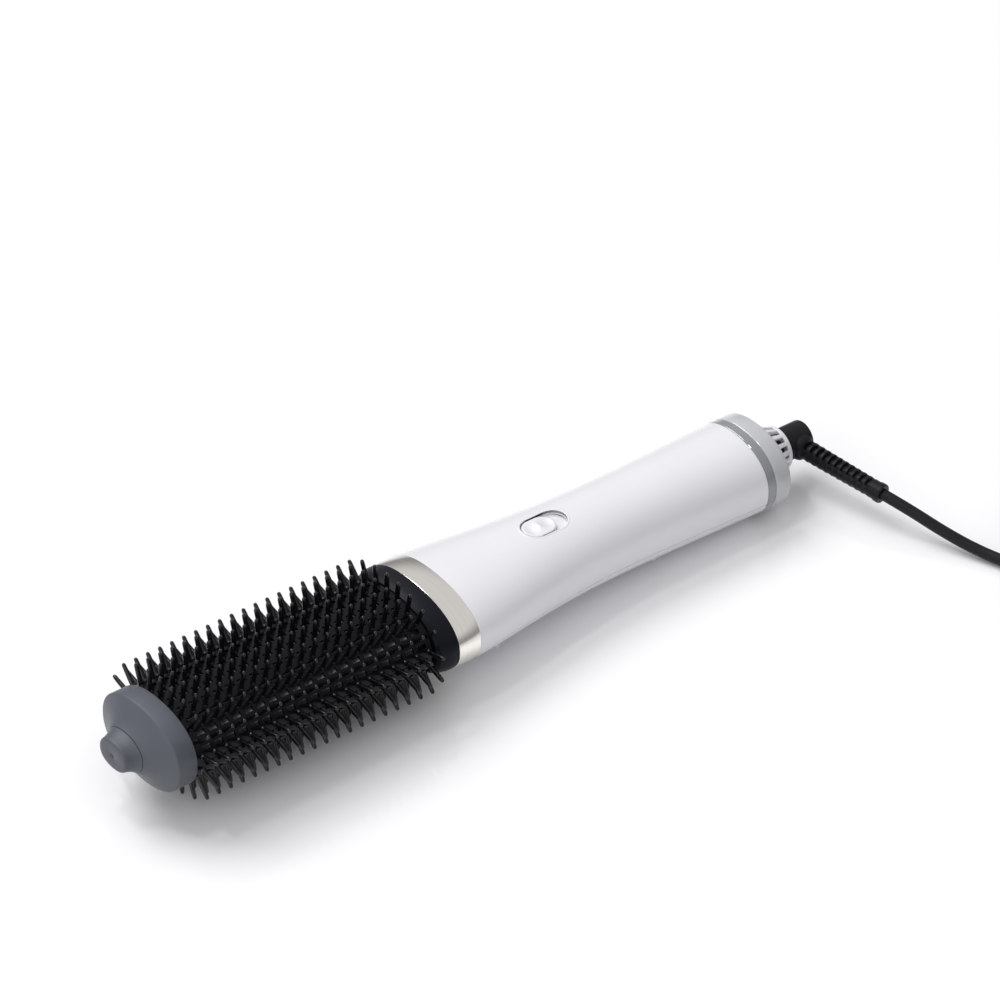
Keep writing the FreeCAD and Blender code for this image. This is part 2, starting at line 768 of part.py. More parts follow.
def write(nodes):
    os.makedirs("parts", exist_ok=True)
    for name, shape in nodes.items():
        shape.exportStep("parts/%s.step" % name)


def report(nodes):
    """Print each node's solids and the object's box without its cord."""
    box = FreeCAD.BoundBox()
    for name, shape in nodes.items():
        if not shape.isValid():
            print("not valid:", name)
        print(name, len(shape.Solids), round(shape.Volume))
        if name not in CORD_NODES:
            box.add(shape.optimalBoundingBox(False))
    print("box", box)


NODES = build()
write(NODES)
report(NODES)
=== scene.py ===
import json
import math

import bmesh
import bpy
from bpy.props import FloatProperty, FloatVectorProperty, IntProperty, PointerProperty
from mathutils import Matrix, Vector


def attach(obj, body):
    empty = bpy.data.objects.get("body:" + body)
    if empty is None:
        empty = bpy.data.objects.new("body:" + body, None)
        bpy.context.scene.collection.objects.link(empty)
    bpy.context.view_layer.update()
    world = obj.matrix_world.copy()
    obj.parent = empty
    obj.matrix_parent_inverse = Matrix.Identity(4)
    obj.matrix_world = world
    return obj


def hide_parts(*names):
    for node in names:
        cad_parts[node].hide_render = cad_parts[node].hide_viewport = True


bl_info = {
    "name": "Hot air brush",
    "version": (1, 0, 0),
    "blender": (4, 5, 0),
    "location": "3D View > Sidebar > Hot air brush",
    "description": "Builds an oval hot air brush with its bristles, handle, switch and cord",
    "category": "Add Mesh",
}

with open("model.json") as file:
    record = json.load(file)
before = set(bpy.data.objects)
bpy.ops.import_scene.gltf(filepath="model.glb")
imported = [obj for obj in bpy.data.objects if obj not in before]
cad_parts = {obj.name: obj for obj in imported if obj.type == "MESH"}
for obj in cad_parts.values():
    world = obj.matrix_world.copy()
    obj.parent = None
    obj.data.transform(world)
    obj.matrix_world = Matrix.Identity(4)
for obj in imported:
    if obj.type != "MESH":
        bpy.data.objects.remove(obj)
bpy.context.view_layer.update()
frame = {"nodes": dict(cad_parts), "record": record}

# Lengths are millimetres along the handle's axis until a piece is placed; REST tips it onto
# the table and turns it into metres, as the frame's own pieces are.
MM = 0.001
REST_TILT = math.radians(2.3)
REST_X = -190.85
REST_Z = 33.25
REST = (Matrix.Translation((REST_X * MM, 0.0, REST_Z * MM))
        @ Matrix.Rotation(REST_TILT, 4, "Y") @ Matrix.Scale(MM, 4))

OVAL_POWER = 2.2
AROUND = 120                # points round an oval

CAP_REAR = 25.0
COLLAR_FRONT = 152.0
COLLAR_REAR = 162.0
BAND_REAR = 174.0
HANDLE_REAR = 341.6
TRIM_RING_REAR = 346.0
REAR_CAP_REAR = 355.0
GRILLE_REAR = 367.5
ELBOW_REAR = 382.0
BRANCH_X = 375.0

# Half width and half height of the oval sections.
BARREL = (27.4, 16.4)
BAND = (33.0, 18.4)
REAR = (24.6, 19.0)
HANDLE = [
    (BAND_REAR, 32.8, 18.3),
    (184.0, 31.8, 18.3),
    (200.0, 29.4, 18.4),
    (216.0, 26.9, 18.5),
    (233.0, 24.7, 18.6),
    (252.0, 23.2, 18.7),
    (275.0, 22.7, 18.8),
    (305.0, 23.4, 18.9),
    (HANDLE_REAR, *REAR),
]
PARTING = -6.0              # height of the line between the handle's two shells
PARTING_GAP = 0.11          # from that line to each shell's edge
HANDLE_WALL = 2.2
BARREL_WALL = 1.2

ROWS = 20
PINS_PER_ROW = 20
PIN_PITCH = 6.4
FIRST_PIN = 28.2
COMBS = ["bristle_comb_%02d" % number for number in range(1, ROWS + 1)]

SWITCH_X = 233.4
SWITCH_LENGTH = 23.0
SWITCH_WIDTH = 13.6
SWITCH_TOP = 18.6
SLIDER_TRAVEL = 5.5
SLIDER_LENGTH = 16.2

GRILLE_RIBS = 16
ELBOW_R = 7.8

# The cord's route in metres, and the coil that its last length is wound in.
CORD_DIAMETER = 0.0054
CORD_ROUTE = [
    (0.1954, -0.0496, 0.0136),
    (0.1996, -0.0636, 0.0113),
    (0.2046, -0.0786, 0.0072),
    (0.2104, -0.0946, 0.0039),
    (0.2172, -0.1118, 0.00275),
    (0.2248, -0.1296, 0.00275),
]
COIL_CENTRE = (0.2691, -0.1273)
LEAD_ROUTE = [
    (0.3110, -0.1195, 0.0176),
    (0.3152, -0.1030, 0.0152),
    (0.3205, -0.0875, 0.0130),
]

COIL_OUTER = 0.0409         # from the coil's centre to the middle of its outermost turn
COIL_INNER = 0.0241
COIL_LEVELS = 4
TURNS_PER_LEVEL = 3
LEVEL_RISE = 0.00555
LEVEL_CHANGE = math.radians(60.0)
COIL_ENTRY = math.radians(205.7)
COIL_EXIT = math.radians(348.0)
POINTS_PER_TURN = 20

# The strain relief's sleeve, in metres along its line from the elbow's axis.
SLEEVE_FRONT = 0.0062
SLEEVE_R = 0.0048
SLEEVE_TAPER = 0.0006
LIP_LENGTH = 0.0030
LIP_R = 0.0046
LIP_EDGE = 0.0005
LIP_EDGE_R = 0.0043
LADDER_FRONT = 0.0080
LADDER_MARGIN = 0.0056      # left whole before the sleeve's end
LADDER_PITCH = 0.0034
WINDOW_CORE = 0.00285       # the windows go down to the cord


class BrushSizes(bpy.types.PropertyGroup):
    """Sizes of the pieces that can change without moving the frame."""

    pin_length: FloatProperty(
        name="Pin length", description="How far a bristle stands above the barrel, in mm",
        default=10.8, min=4.0, max=16.0)
    pin_root: FloatProperty(
        name="Pin root radius", description="Radius of a bristle above its foot, in mm",
        default=1.14, min=0.4, max=1.5)
    pin_tip: FloatProperty(
        name="Tip radius", description="Radius of a bristle below its rounded end, in mm",
        default=1.0, min=0.4, max=1.5)
    rows: IntProperty(
        name="Rows", description="Rows of bristles round the barrel", default=ROWS, min=8, max=60)
    pins: IntProperty(
        name="Pins per row", description="Bristles along one row", default=PINS_PER_ROW,
        min=4, max=30)


def colour(name, description, value):
    return FloatVectorProperty(
        name=name, description=description, subtype="COLOR", size=3, min=0.0, max=1.0,
        default=value)


class BrushColours(bpy.types.PropertyGroup):
    """Base colours of the finishes."""

    soft_grey: colour("Soft grey", "Cap and nose", (0.088, 0.095, 0.114))
    barrel: colour("Barrel", "Glossy coated barrel", (0.003, 0.003, 0.004))
    bristle: colour("Bristle", "Moulded bristles", (0.0035, 0.004, 0.005))
    navy: colour("Collar", "Collar behind the bristles", (0.005, 0.006, 0.010))
    metal: colour("Trim", "Polished trim band", (0.90, 0.865, 0.81))
    white: colour("Handle", "Handle shells", (0.80, 0.80, 0.825))
    grey: colour("Rear ring", "Glossy ring between the handle and the cap", (0.26, 0.265, 0.28))
    # The rear cap's colour is a lighter copy of the rear ring's grey: painted light that brightens
    # the rear cap.
    painted_light_grey: colour("Rear cap", "Frosted cap round the intake", (0.55, 0.56, 0.58))
    cord: colour("Cord", "Cord, elbow and plug", (0.007, 0.007, 0.009))


# ---- materials ----

FINISHES = {}


def finish_for(slot):
    """The finish made here; the frame has a plain material under the same name."""
    return FINISHES[slot]


def new_material(name):
    material = bpy.data.materials.new(name)
    material.use_nodes = True
    return material, material.node_tree, material.node_tree.nodes["Principled BSDF"]


def object_coordinates(tree):
    return tree.nodes.new("ShaderNodeTexCoord").outputs["Object"]


def noise(tree, scale, detail=3.0, roughness=0.55):
    node = tree.nodes.new("ShaderNodeTexNoise")
    node.inputs["Scale"].default_value = scale
    node.inputs["Detail"].default_value = detail
    node.inputs["Roughness"].default_value = roughness
    tree.links.new(object_coordinates(tree), node.inputs["Vector"])
    return node.outputs["Fac"]


def spread(tree, value, low, high):
    """Map a 0 to 1 value onto low to high."""
    node = tree.nodes.new("ShaderNodeMapRange")
    node.inputs["To Min"].default_value = low
    node.inputs["To Max"].default_value = high
    tree.links.new(value, node.inputs["Value"])
    return node.outputs["Result"]


def tint(tree, value, first, second):
    """Blend between two colours by a 0 to 1 value."""
    node = tree.nodes.new("ShaderNodeValToRGB")
    node.color_ramp.elements[0].position = 0.3
    node.color_ramp.elements[1].position = 0.7
    node.color_ramp.elements[0].color = (*first, 1.0)
    node.color_ramp.elements[1].color = (*second, 1.0)
    tree.links.new(value, node.inputs["Fac"])
    return node.outputs["Color"]


def bump(tree, shader, height, strength, distance):
    node = tree.nodes.new("ShaderNodeBump")
    node.inputs["Strength"].default_value = strength
    node.inputs["Distance"].default_value = distance
    tree.links.new(height, node.inputs["Height"])
    tree.links.new(node.outputs["Normal"], shader.inputs["Normal"])


def shade(base, amount):
    return tuple(min(1.0, max(0.0, channel * amount)) for channel in base)


def moulded(slot, base, rough, grain, depth, vary=0.06, coat=0.0, coat_rough=0.1, scale=2600.0,
            ior=1.5):
    """Moulded plastic: a fine grain, slow colour drift and uneven gloss."""
    FINISHES[slot], tree, shader = new_material(slot)
    slow = noise(tree, 34.0)
    fine = noise(tree, scale, 2.0, 0.6)
    tree.links.new(tint(tree, slow, shade(base, 1.0 - vary), shade(base, 1.0 + vary)),
                   shader.inputs["Base Color"])
    tree.links.new(spread(tree, noise(tree, 120.0, 4.0), rough - grain, rough + grain),
                   shader.inputs["Roughness"])
    shader.inputs["IOR"].default_value = ior
    shader.inputs["Coat Weight"].default_value = coat
    shader.inputs["Coat Roughness"].default_value = coat_rough
    bump(tree, shader, fine, 0.35, depth)


def polished(slot, base, rough, hairlines):
    """Polished metal with hairlines that run round the piece."""
    FINISHES[slot], tree, shader = new_material(slot)
    shader.inputs["Metallic"].default_value = 1.0
    mapping = tree.nodes.new("ShaderNodeMapping")
    mapping.inputs["Scale"].default_value = (hairlines, 18.0, 18.0)
    tree.links.new(object_coordinates(tree), mapping.inputs["Vector"])
    lines = tree.nodes.new("ShaderNodeTexNoise")
    lines.inputs["Scale"].default_value = 1.0
    lines.inputs["Detail"].default_value = 4.0
    tree.links.new(mapping.outputs["Vector"], lines.inputs["Vector"])
    fac = lines.outputs["Fac"]
    tree.links.new(tint(tree, fac, shade(base, 0.96), shade(base, 1.03)),
                   shader.inputs["Base Color"])
    tree.links.new(spread(tree, fac, rough * 0.6, rough * 1.5), shader.inputs["Roughness"])
    bump(tree, shader, fac, 0.12, 0.00002)


def make_materials(colours):
    """Make every finish, each under its slot in the record; the lighter copy of the grey gloss,
    with painted light, is the rear cap's.
    """
    moulded("soft_grey", colours.soft_grey, rough=0.46, grain=0.05, depth=0.00004, vary=0.08,
            ior=1.4)
    moulded("black_nylon", (0.02, 0.02, 0.022), rough=0.5, grain=0.08, depth=0.00006)
    moulded("barrel_black", colours.barrel, rough=0.13, grain=0.04, depth=0.00002, vary=0.15,
            scale=1500.0, ior=1.24)
    moulded("bristle_black", colours.bristle, rough=0.2, grain=0.05, depth=0.00002, vary=0.15,
            coat=0.3, coat_rough=0.06, ior=1.4)
    polished("duct_metal", (0.35, 0.35, 0.36), rough=0.35, hairlines=900.0)
    polished("steel", (0.55, 0.55, 0.57), rough=0.25, hairlines=1400.0)
    moulded("navy_plastic", colours.navy, rough=0.4, grain=0.05, depth=0.00003, vary=0.1,
            ior=1.24)
    polished("champagne_metal", colours.metal, rough=0.1, hairlines=2400.0)
    moulded("white_shell", colours.white, rough=0.3, grain=0.04, depth=0.00002, vary=0.012,
            coat=0.55, coat_rough=0.12, scale=1800.0)
    moulded("board_green", (0.02, 0.12, 0.05), rough=0.4, grain=0.08, depth=0.00008, vary=0.2)
    moulded("mica", (0.42, 0.35, 0.24), rough=0.55, grain=0.1, depth=0.00012, vary=0.3,
            scale=700.0)
    polished("heating_wire", (0.36, 0.32, 0.28), rough=0.4, hairlines=3000.0)
    moulded("grey_gloss", colours.grey, rough=0.1, grain=0.03, depth=0.00001, vary=0.08,
            coat=1.0, coat_rough=0.03, scale=900.0)
    # A lighter copy of the grey gloss for the rear cap: painted light that brightens it.
    moulded("grey_gloss_painted_light", colours.painted_light_grey, rough=0.22, grain=0.05, depth=0.00001, vary=0.1,
            coat=0.6, coat_rough=0.06, scale=900.0)
    polished("brass", (0.78, 0.60, 0.30), rough=0.2, hairlines=1500.0)
    moulded("cord_black", colours.cord, rough=0.38, grain=0.06, depth=0.00004, vary=0.12,
            ior=1.3)


# ---- mesh helpers ----

def power(value, exponent):
    return math.copysign(abs(value) ** exponent, value)


def oval_ring(x, half_width, half_height, count=AROUND, start=0.0, end=2.0 * math.pi, closed=True):
    """Points round an oval; equal halves make a circle."""
    exponent = 2.0 / (2.0 if half_width == half_height else OVAL_POWER)
    steps = count if closed else count - 1
    points = []
    for index in range(count):
        angle = start + (end - start) * index / steps
        y = half_width * power(math.cos(angle), exponent)
        z = half_height * power(math.sin(angle), exponent)
        points.append(Vector((x, y, z)))
    return points


def curve_through(points, steps):
    """More (x, a, b) stations on a smooth line through the given ones."""
    ends = [points[0]] + list(points) + [points[-1]]
    out = []
    for before, start, end, after in zip(ends, ends[1:], ends[2:], ends[3:]):
        for step in range(steps):
            t = step / steps
            values = []
            for p0, p1, p2, p3 in zip(before, start, end, after):
                slope = 0.5 * (p2 - p0)
                next_slope = 0.5 * (p3 - p1)
                blend = 2.0 * t ** 3 - 3.0 * t ** 2 + 1.0
                values.append(blend * p1 + (1.0 - blend) * p2
                              + (t ** 3 - 2.0 * t ** 2 + t) * slope
                              + (t ** 3 - t ** 2) * next_slope)
            out.append(tuple(values))
    out.append(tuple(points[-1]))
    return out


def handle_size(x):
    """Half width and half height of the handle at a station."""
    for start, end in zip(HANDLE_LINE, HANDLE_LINE[1:]):
        if start[0] <= x <= end[0]:
            t = (x - start[0]) / (end[0] - start[0])
            return (start[1] + (end[1] - start[1]) * t, start[2] + (end[2] - start[2]) * t)
    return HANDLE_LINE[0][1:] if x < HANDLE_LINE[0][0] else HANDLE_LINE[-1][1:]


HANDLE_LINE = curve_through(HANDLE, 8)


def linked(name, data):
    """A new object in the scene."""
    made = bpy.data.objects.new(name, data)
    bpy.context.scene.collection.objects.link(made)
    return made


def mesh_from(bm, name):
    """A mesh with its faces turned outwards; the bmesh is used up."""
    bmesh.ops.recalc_face_normals(bm, faces=bm.faces)
    mesh = bpy.data.meshes.new(name)
    bm.to_mesh(mesh)
    bm.free()
    return mesh


def evaluated_mesh(piece):
    """A copy of a piece's mesh with its modifiers carried out."""
    bpy.context.view_layer.update()
    evaluated = piece.evaluated_get(bpy.context.evaluated_depsgraph_get())
    return bpy.data.meshes.new_from_object(evaluated)


def finished(name, mesh, body, slot, place, sharp):
    """Put a mesh in its place as a piece that rides on a body and takes a slot's finish."""
    mesh.transform(place)
    mesh.shade_smooth()
    mesh.set_sharp_from_angle(angle=math.radians(sharp))
    mesh.materials.clear()
    mesh.materials.append(finish_for(slot))
    piece = linked(name, mesh)
    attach(piece, body)
    return piece


def place_piece(name, body, slot, bm, place=REST, sharp=32.0, merge=0.0005):
    """Turn a bmesh into a finished piece."""
    if merge:
        bmesh.ops.remove_doubles(bm, verts=bm.verts, dist=merge)
    return finished(name, mesh_from(bm, name), body, slot, place, sharp)


def bridge(bm, rings, closed):
    """Quads between rows of points, each row a ring; closed joins the last row to the first."""
    rows = [[bm.verts.new(point) for point in ring] for ring in rings]
    pairs = list(zip(rows, rows[1:]))
    if closed:
        pairs.append((rows[-1], rows[0]))
    count = len(rows[0])
    for first, second in pairs:
        for index in range(count):
            after = (index + 1) % count
            bm.faces.new((first[index], first[after], second[after], second[index]))
    return rows


def cap_ring(bm, row, peak=None):
    """Close a ring with a fan about a point, or about its centre."""
    if peak is None:
        peak = sum((vert.co for vert in row), Vector((0.0, 0.0, 0.0))) / len(row)
    middle = bm.verts.new(peak)
    for index, vert in enumerate(row):
        bm.faces.new((vert, row[(index + 1) % len(row)], middle))


def shell_bmesh(profile, count=AROUND):
    """A closed ring of oval sections: outside, then back along the inside."""
    bm = bmesh.new()
    bridge(bm, [oval_ring(x, a, b, count) for x, a, b in profile], True)
    return bm


def closed_bar(rings, bm=None):
    """A bar through rings of points with both ends closed, in a bmesh of its own or a given one."""
    if bm is None:
        bm = bmesh.new()
    rows = bridge(bm, rings, False)
    cap_ring(bm, rows[0])
    cap_ring(bm, rows[-1])
    return bm


def solid_bmesh(profile, count=AROUND):
    """A closed bar of oval sections."""
    return closed_bar([oval_ring(x, a, b, count) for x, a, b in profile])


def ring_about(centre, first, second, first_r, second_r, count):
    """Points of an oval about a centre, with a radius along each of two directions."""
    ring = []
    for index in range(count):
        angle = 2.0 * math.pi * index / count
        ring.append(centre + first * (first_r * math.cos(angle))
                    + second * (second_r * math.sin(angle)))
    return ring


# ---- geometry nodes ----

class Tree:
    """A short way to lay out a geometry node tree with named inputs."""

    def __init__(self, name, inputs):
        self.group = bpy.data.node_groups.new(name, "GeometryNodeTree")
        self.sockets = {}
        self.socket("Geometry", "OUTPUT", "Geometry")
        self.socket("Geometry", "INPUT", "Geometry")
        for label, (kind, default) in inputs.items():
            self.socket(label, "INPUT", kind).default_value = default
        self.socket("Material", "INPUT", "Material")
        self.given = self.node("NodeGroupInput").outputs

    def socket(self, name, direction, kind):
        socket = self.group.interface.new_socket(
            name, in_out=direction, socket_type="NodeSocket" + kind)
        self.sockets[name] = socket.identifier
        return socket

    def node(self, kind, **settings):
        node = self.group.nodes.new(kind)
        for key, value in settings.items():
            setattr(node, key, value)
        return node

    def link(self, output, target):
        self.group.links.new(output, target)

    def math(self, operation, first, second=None):
        node = self.node("ShaderNodeMath", operation=operation)
        for index, value in enumerate((first, second)):
            if value is None:
                continue
            if isinstance(value, (int, float)):
                node.inputs[index].default_value = value
            else:
                self.link(value, node.inputs[index])
        return node.outputs[0]

    def along_x(self, value):
        """A vector with the value as its X."""
        node = self.node("ShaderNodeCombineXYZ")
        self.link(value, node.inputs["X"])
        return node.outputs[0]

    def point_row(self, count):
        """As many points as the count, and each one's number."""
        points = self.node("GeometryNodePoints")
        self.link(count, points.inputs["Count"])
        return points.outputs[0], self.node("GeometryNodeInputIndex").outputs[0]

    def moved(self, geometry, position):
        node = self.node("GeometryNodeSetPosition")
        self.link(geometry, node.inputs["Geometry"])
        self.link(position, node.inputs["Position"])
        return node.outputs[0]

    def copies(self, points, instance, rotation=None):
        node = self.node("GeometryNodeInstanceOnPoints")
        self.link(points, node.inputs["Points"])
        self.link(instance, node.inputs["Instance"])
        if rotation is not None:
            self.link(rotation, node.inputs["Rotation"])
        return node.outputs[0]

    def end(self, geometry):
        realize = self.node("GeometryNodeRealizeInstances")
        paint = self.node("GeometryNodeSetMaterial")
        self.link(geometry, realize.inputs[0])
        self.link(realize.outputs[0], paint.inputs["Geometry"])
        self.link(self.given["Material"], paint.inputs["Material"])
        out = self.node("NodeGroupOutput")
        self.link(paint.outputs[0], out.inputs[0])


def grown_piece(name, seed_bmesh, tree, values, body, slot, sharp=32.0):
    """Run a tree on a seed mesh and keep the result as a plain mesh in its place."""
    seed = linked(name + "_seed", mesh_from(seed_bmesh, name + "_seed"))
    modifier = seed.modifiers.new("Grow", "NODES")
    modifier.node_group = tree.group
    for key, value in values.items():
        modifier[tree.sockets[key]] = value
    modifier[tree.sockets["Material"]] = finish_for(slot)
    mesh = evaluated_mesh(seed)
    seed.modifiers.remove(modifier)
    bpy.data.objects.remove(seed)
    mesh.name = name
    return finished(name, mesh, body, slot, REST, sharp)


def bristle_tree():
    """Copy a pin evenly round the barrel's oval and along its length."""
    tree = Tree("bristle_rows", {
        "Half width": ("Float", BARREL[0]),
        "Half height": ("Float", BARREL[1]),
        "Exponent": ("Float", 2.0 / OVAL_POWER),
        "Rows": ("Int", ROWS),
        "Pins": ("Int", PINS_PER_ROW),
        "Pitch": ("Float", PIN_PITCH),
        "First pin": ("Float", FIRST_PIN),
    })
    given = tree.given

    circle = tree.node("GeometryNodeCurvePrimitiveCircle", mode="RADIUS")
    circle.inputs["Resolution"].default_value = 720
    circle.inputs["Radius"].default_value = 1.0
    place = tree.node("GeometryNodeInputPosition")
    split = tree.node("ShaderNodeSeparateXYZ")
    tree.link(place.outputs[0], split.inputs[0])
    join = tree.node("ShaderNodeCombineXYZ")
    for axis, size, target in (("X", "Half width", "Y"), ("Y", "Half height", "Z")):
        value = split.outputs[axis]
        size_power = tree.math("POWER", tree.math("ABSOLUTE", value), given["Exponent"])
        signed = tree.math("MULTIPLY", size_power, tree.math("SIGN", value))
        tree.link(tree.math("MULTIPLY", signed, given[size]), join.inputs[target])
    oval = tree.moved(circle.outputs[0], join.outputs[0])

    points, number = tree.point_row(given["Rows"])
    share = tree.math("DIVIDE", tree.math("ADD", number, 0.5), given["Rows"])
    sample = tree.node("GeometryNodeSampleCurve", mode="FACTOR", use_all_curves=True)
    tree.link(oval, sample.inputs["Curves"])
    tree.link(share, sample.inputs["Factor"])
    outward = tree.node("ShaderNodeVectorMath", operation="CROSS_PRODUCT")
    outward.inputs[1].default_value = (1.0, 0.0, 0.0)
    tree.link(sample.outputs["Tangent"], outward.inputs[0])
    align = tree.node("FunctionNodeAlignRotationToVector", axis="Z")
    tree.link(outward.outputs[0], align.inputs["Vector"])
    seats = tree.moved(points, sample.outputs["Position"])
    ring = tree.copies(seats, given["Geometry"], align.outputs[0])

    line = tree.node("GeometryNodeMeshLine", mode="OFFSET")
    tree.link(given["Pins"], line.inputs["Count"])
    tree.link(tree.along_x(given["First pin"]), line.inputs["Start Location"])
    tree.link(tree.along_x(given["Pitch"]), line.inputs["Offset"])
    tree.end(tree.copies(line.outputs[0], ring))
    return tree


def wheel_tree():
    """Copy a seed evenly round the handle's axis."""
    tree = Tree("round_the_axis", {"Count": ("Int", GRILLE_RIBS)})
    points, number = tree.point_row(tree.given["Count"])
    turn = tree.math("MULTIPLY", number, 2.0 * math.pi)
    angle = tree.math("DIVIDE", turn, tree.given["Count"])
    tree.end(tree.copies(points, tree.given["Geometry"], tree.along_x(angle)))
    return tree


# ---- operators ----

class HAIRBRUSH_OT_stage(bpy.types.Operator):
    """Make the pale floor, the soft lights and the camera"""

    bl_idname = "hairbrush.stage"
    bl_label = "Stage"

    def execute(self, context):
        scene = context.scene
        scene.world = self.soft_dome()
        scene.view_settings.view_transform = "Standard"
        floor_mesh = bpy.data.meshes.new("floor")
        reach = 45.0
        corners = [(-reach, -reach, 0.0), (reach, -reach, 0.0),
                   (reach, reach, 0.0), (-reach, reach, 0.0)]
        floor_mesh.from_pydata(corners, [], [(0, 1, 2, 3)])
        floor = linked("floor", floor_mesh)
        material, _, shader = new_material("floor_gloss")
        shader.inputs["Base Color"].default_value = (0.97, 0.97, 0.98, 1.0)
        shader.inputs["Roughness"].default_value = 0.04
        shader.inputs["IOR"].default_value = 1.55
        floor_mesh.materials.append(material)
        self.key()
        self.light("fill", place=(-1.4, -0.35, 0.55), size=1.3, watts=5.0)
        self.light("glint", place=(-0.35, 0.25, 1.25), size=0.16, watts=1.6)
        scene.camera = self.camera()
        return {"FINISHED"}

    def soft_dome(self):
        """Even white light from above that falls away towards the horizon."""
        world = bpy.data.worlds.new("soft_dome")
        world.use_nodes = True
        nodes, links = world.node_tree.nodes, world.node_tree.links
        direction = nodes.new("ShaderNodeTexCoord")
        height = nodes.new("ShaderNodeSeparateXYZ")
        links.new(direction.outputs["Generated"], height.inputs["Vector"])
        strength = nodes.new("ShaderNodeMapRange")
        strength.interpolation_type = "SMOOTHSTEP"
        limits = {"From Min": 0.10, "From Max": 0.60, "To Min": 0.30, "To Max": 0.66}
        for name, value in limits.items():
            strength.inputs[name].default_value = value
        links.new(height.outputs["Z"], strength.inputs["Value"])
        background = nodes["Background"]
        background.inputs["Color"].default_value = (0.985, 0.985, 1.0, 1.0)
        links.new(strength.outputs["Result"], background.inputs["Strength"])
        return world

    def key(self):
        """A broad high light from behind, so that the shadows are soft and fall forwards."""
        data = bpy.data.lights.new("key", "SUN")
        data.energy = 1.55
        data.angle = math.radians(34.0)
        self.aim(linked("key", data), Vector((0.14, -0.80, -1.0)))

    def light(self, name, place, size, watts):
        """A square light that points at the middle of the brush."""
        data = bpy.data.lights.new(name, "AREA")
        data.shape = "SQUARE"
        data.size = size
        data.energy = watts
        light = linked(name, data)
        light.location = place
        self.aim(light, Vector((0.0, 0.0, 0.02)) - Vector(place))

    def aim(self, light, direction):
        light.rotation_euler = direction.to_track_quat("-Z", "Y").to_euler()

    def camera(self):
        """Stand the camera so that the nose is at a known place in its own axes."""
        focal = 9.7             # focal length over the frame's width
        pitch = math.radians(39.32)
        yaw = math.radians(38.16)
        nose_from_camera = Vector((-164.9, 3121.3, -2697.2)) * MM
        right = Vector((math.cos(yaw), -math.sin(yaw), 0.0))
        ahead = Vector((math.sin(yaw), math.cos(yaw), 0.0))
        up = Vector((0.0, 0.0, 1.0))
        nose = Vector((REST_X * MM, 0.0, REST_Z * MM))
        offset = right * nose_from_camera.x + ahead * nose_from_camera.y + up * nose_from_camera.z
        data = bpy.data.cameras.new("camera")
        data.sensor_width = 36.0
        data.lens = focal * data.sensor_width
        data.clip_end = 120.0
        camera = linked("camera", data)
        camera.location = nose - offset
        camera.rotation_euler = (math.pi / 2.0 - pitch, 0.0, -yaw)
        return camera


class HAIRBRUSH_OT_cord(bpy.types.Operator):
    """Lay the mains cord from the strain relief to its coil and plug"""

    bl_idname = "hairbrush.cord"
    bl_label = "Mains cord"

    def coil_place(self, angle):
        """Radius and height after winding through an angle from the coil's entry."""
        level_angle = 2.0 * math.pi * TURNS_PER_LEVEL
        level, rest = divmod(angle, level_angle + LEVEL_CHANGE)
        share = min(1.0, rest / level_angle)
        rise = max(0.0, rest - level_angle) / LEVEL_CHANGE
        inward = level % 2 == 0
        start, end = (COIL_OUTER, COIL_INNER) if inward else (COIL_INNER, COIL_OUTER)
        ease = rise * rise * (3.0 - 2.0 * rise)
        height = CORD_ROUTE[-1][2] + LEVEL_RISE * (level + ease)
        return start + (end - start) * share, height

    def coil_points(self):
        """Flat spirals wound one on another, in and out by turns, as a put-away cord is."""
        whole = 2.0 * math.pi
        total = COIL_LEVELS * (whole * TURNS_PER_LEVEL) + (COIL_LEVELS - 1) * LEVEL_CHANGE
        spare = (COIL_ENTRY + total - COIL_EXIT) % whole
        count = round((total - spare) / whole * POINTS_PER_TURN)
        # a spline of order 3 cuts inside its points by this much
        outward = 1.0 / math.cos(math.pi / POINTS_PER_TURN)
        points = []
        for step in range(count + 1):
            angle = (total - spare) * step / count
            radius, height = self.coil_place(angle)
            turned = COIL_ENTRY + angle
            points.append((COIL_CENTRE[0] + radius * outward * math.cos(turned),
                           COIL_CENTRE[1] + radius * outward * math.sin(turned), height))
        return points

    def execute(self, context):
        points = CORD_ROUTE + self.coil_points() + LEAD_ROUTE
        curve = bpy.data.curves.new("power_cord_line", "CURVE")
        curve.dimensions = "3D"
        spline = curve.splines.new("NURBS")
        spline.points.add(len(points) - 1)
        for target, point in zip(spline.points, points):
            target.co = (*point, 1.0)
        spline.order_u = 3
        spline.use_endpoint_u = True
        spline.resolution_u = 5
        curve.bevel_depth = CORD_DIAMETER / 2.0
        curve.bevel_resolution = 4
        cord = linked("mains_cord", curve)
        curve.materials.append(finish_for("cord_black"))
        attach(cord, "cord_swivel")
        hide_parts("power_cord", "cord_coil", "plug_lead")
        relief = strain_relief_piece()
        plug = plug_piece()
        return {"FINISHED"}


def branch():
    """Where the cord's branch meets the elbow's axis, and the line from there to the cord."""
    start = REST @ Vector((BRANCH_X, 0.0, 0.0))
    return start, Vector(CORD_ROUTE[0]) - start


def rounded_step(value, edge, width=0.06):
    """Rise from 0 to 1 across an edge."""
    t = min(1.0, max(0.0, (value - edge) / width + 0.5))
    return t * t * (3.0 - 2.0 * t)


def sleeve_radius(distance, last):
    """Outer radius of the strain relief, which tapers and ends in a lip."""
    if distance >= last - LIP_EDGE:
        return LIP_EDGE_R
    if distance > last - LIP_LENGTH:
        return LIP_R
    return SLEEVE_R - SLEEVE_TAPER * ((distance - SLEEVE_FRONT) / (last - SLEEVE_FRONT))


def window_share(distance, last):
    """How far the ladder's window is open at a distance, from 0 at a rung to 1."""
    if not LADDER_FRONT < distance < last - LADDER_MARGIN:
        return 0.0
    rung_before, rung_after = 0.22, 0.16
    phase = ((distance - LADDER_FRONT) / LADDER_PITCH) % 1.0
    return rounded_step(phase, rung_before) * rounded_step(1.0 - phase, rung_after)


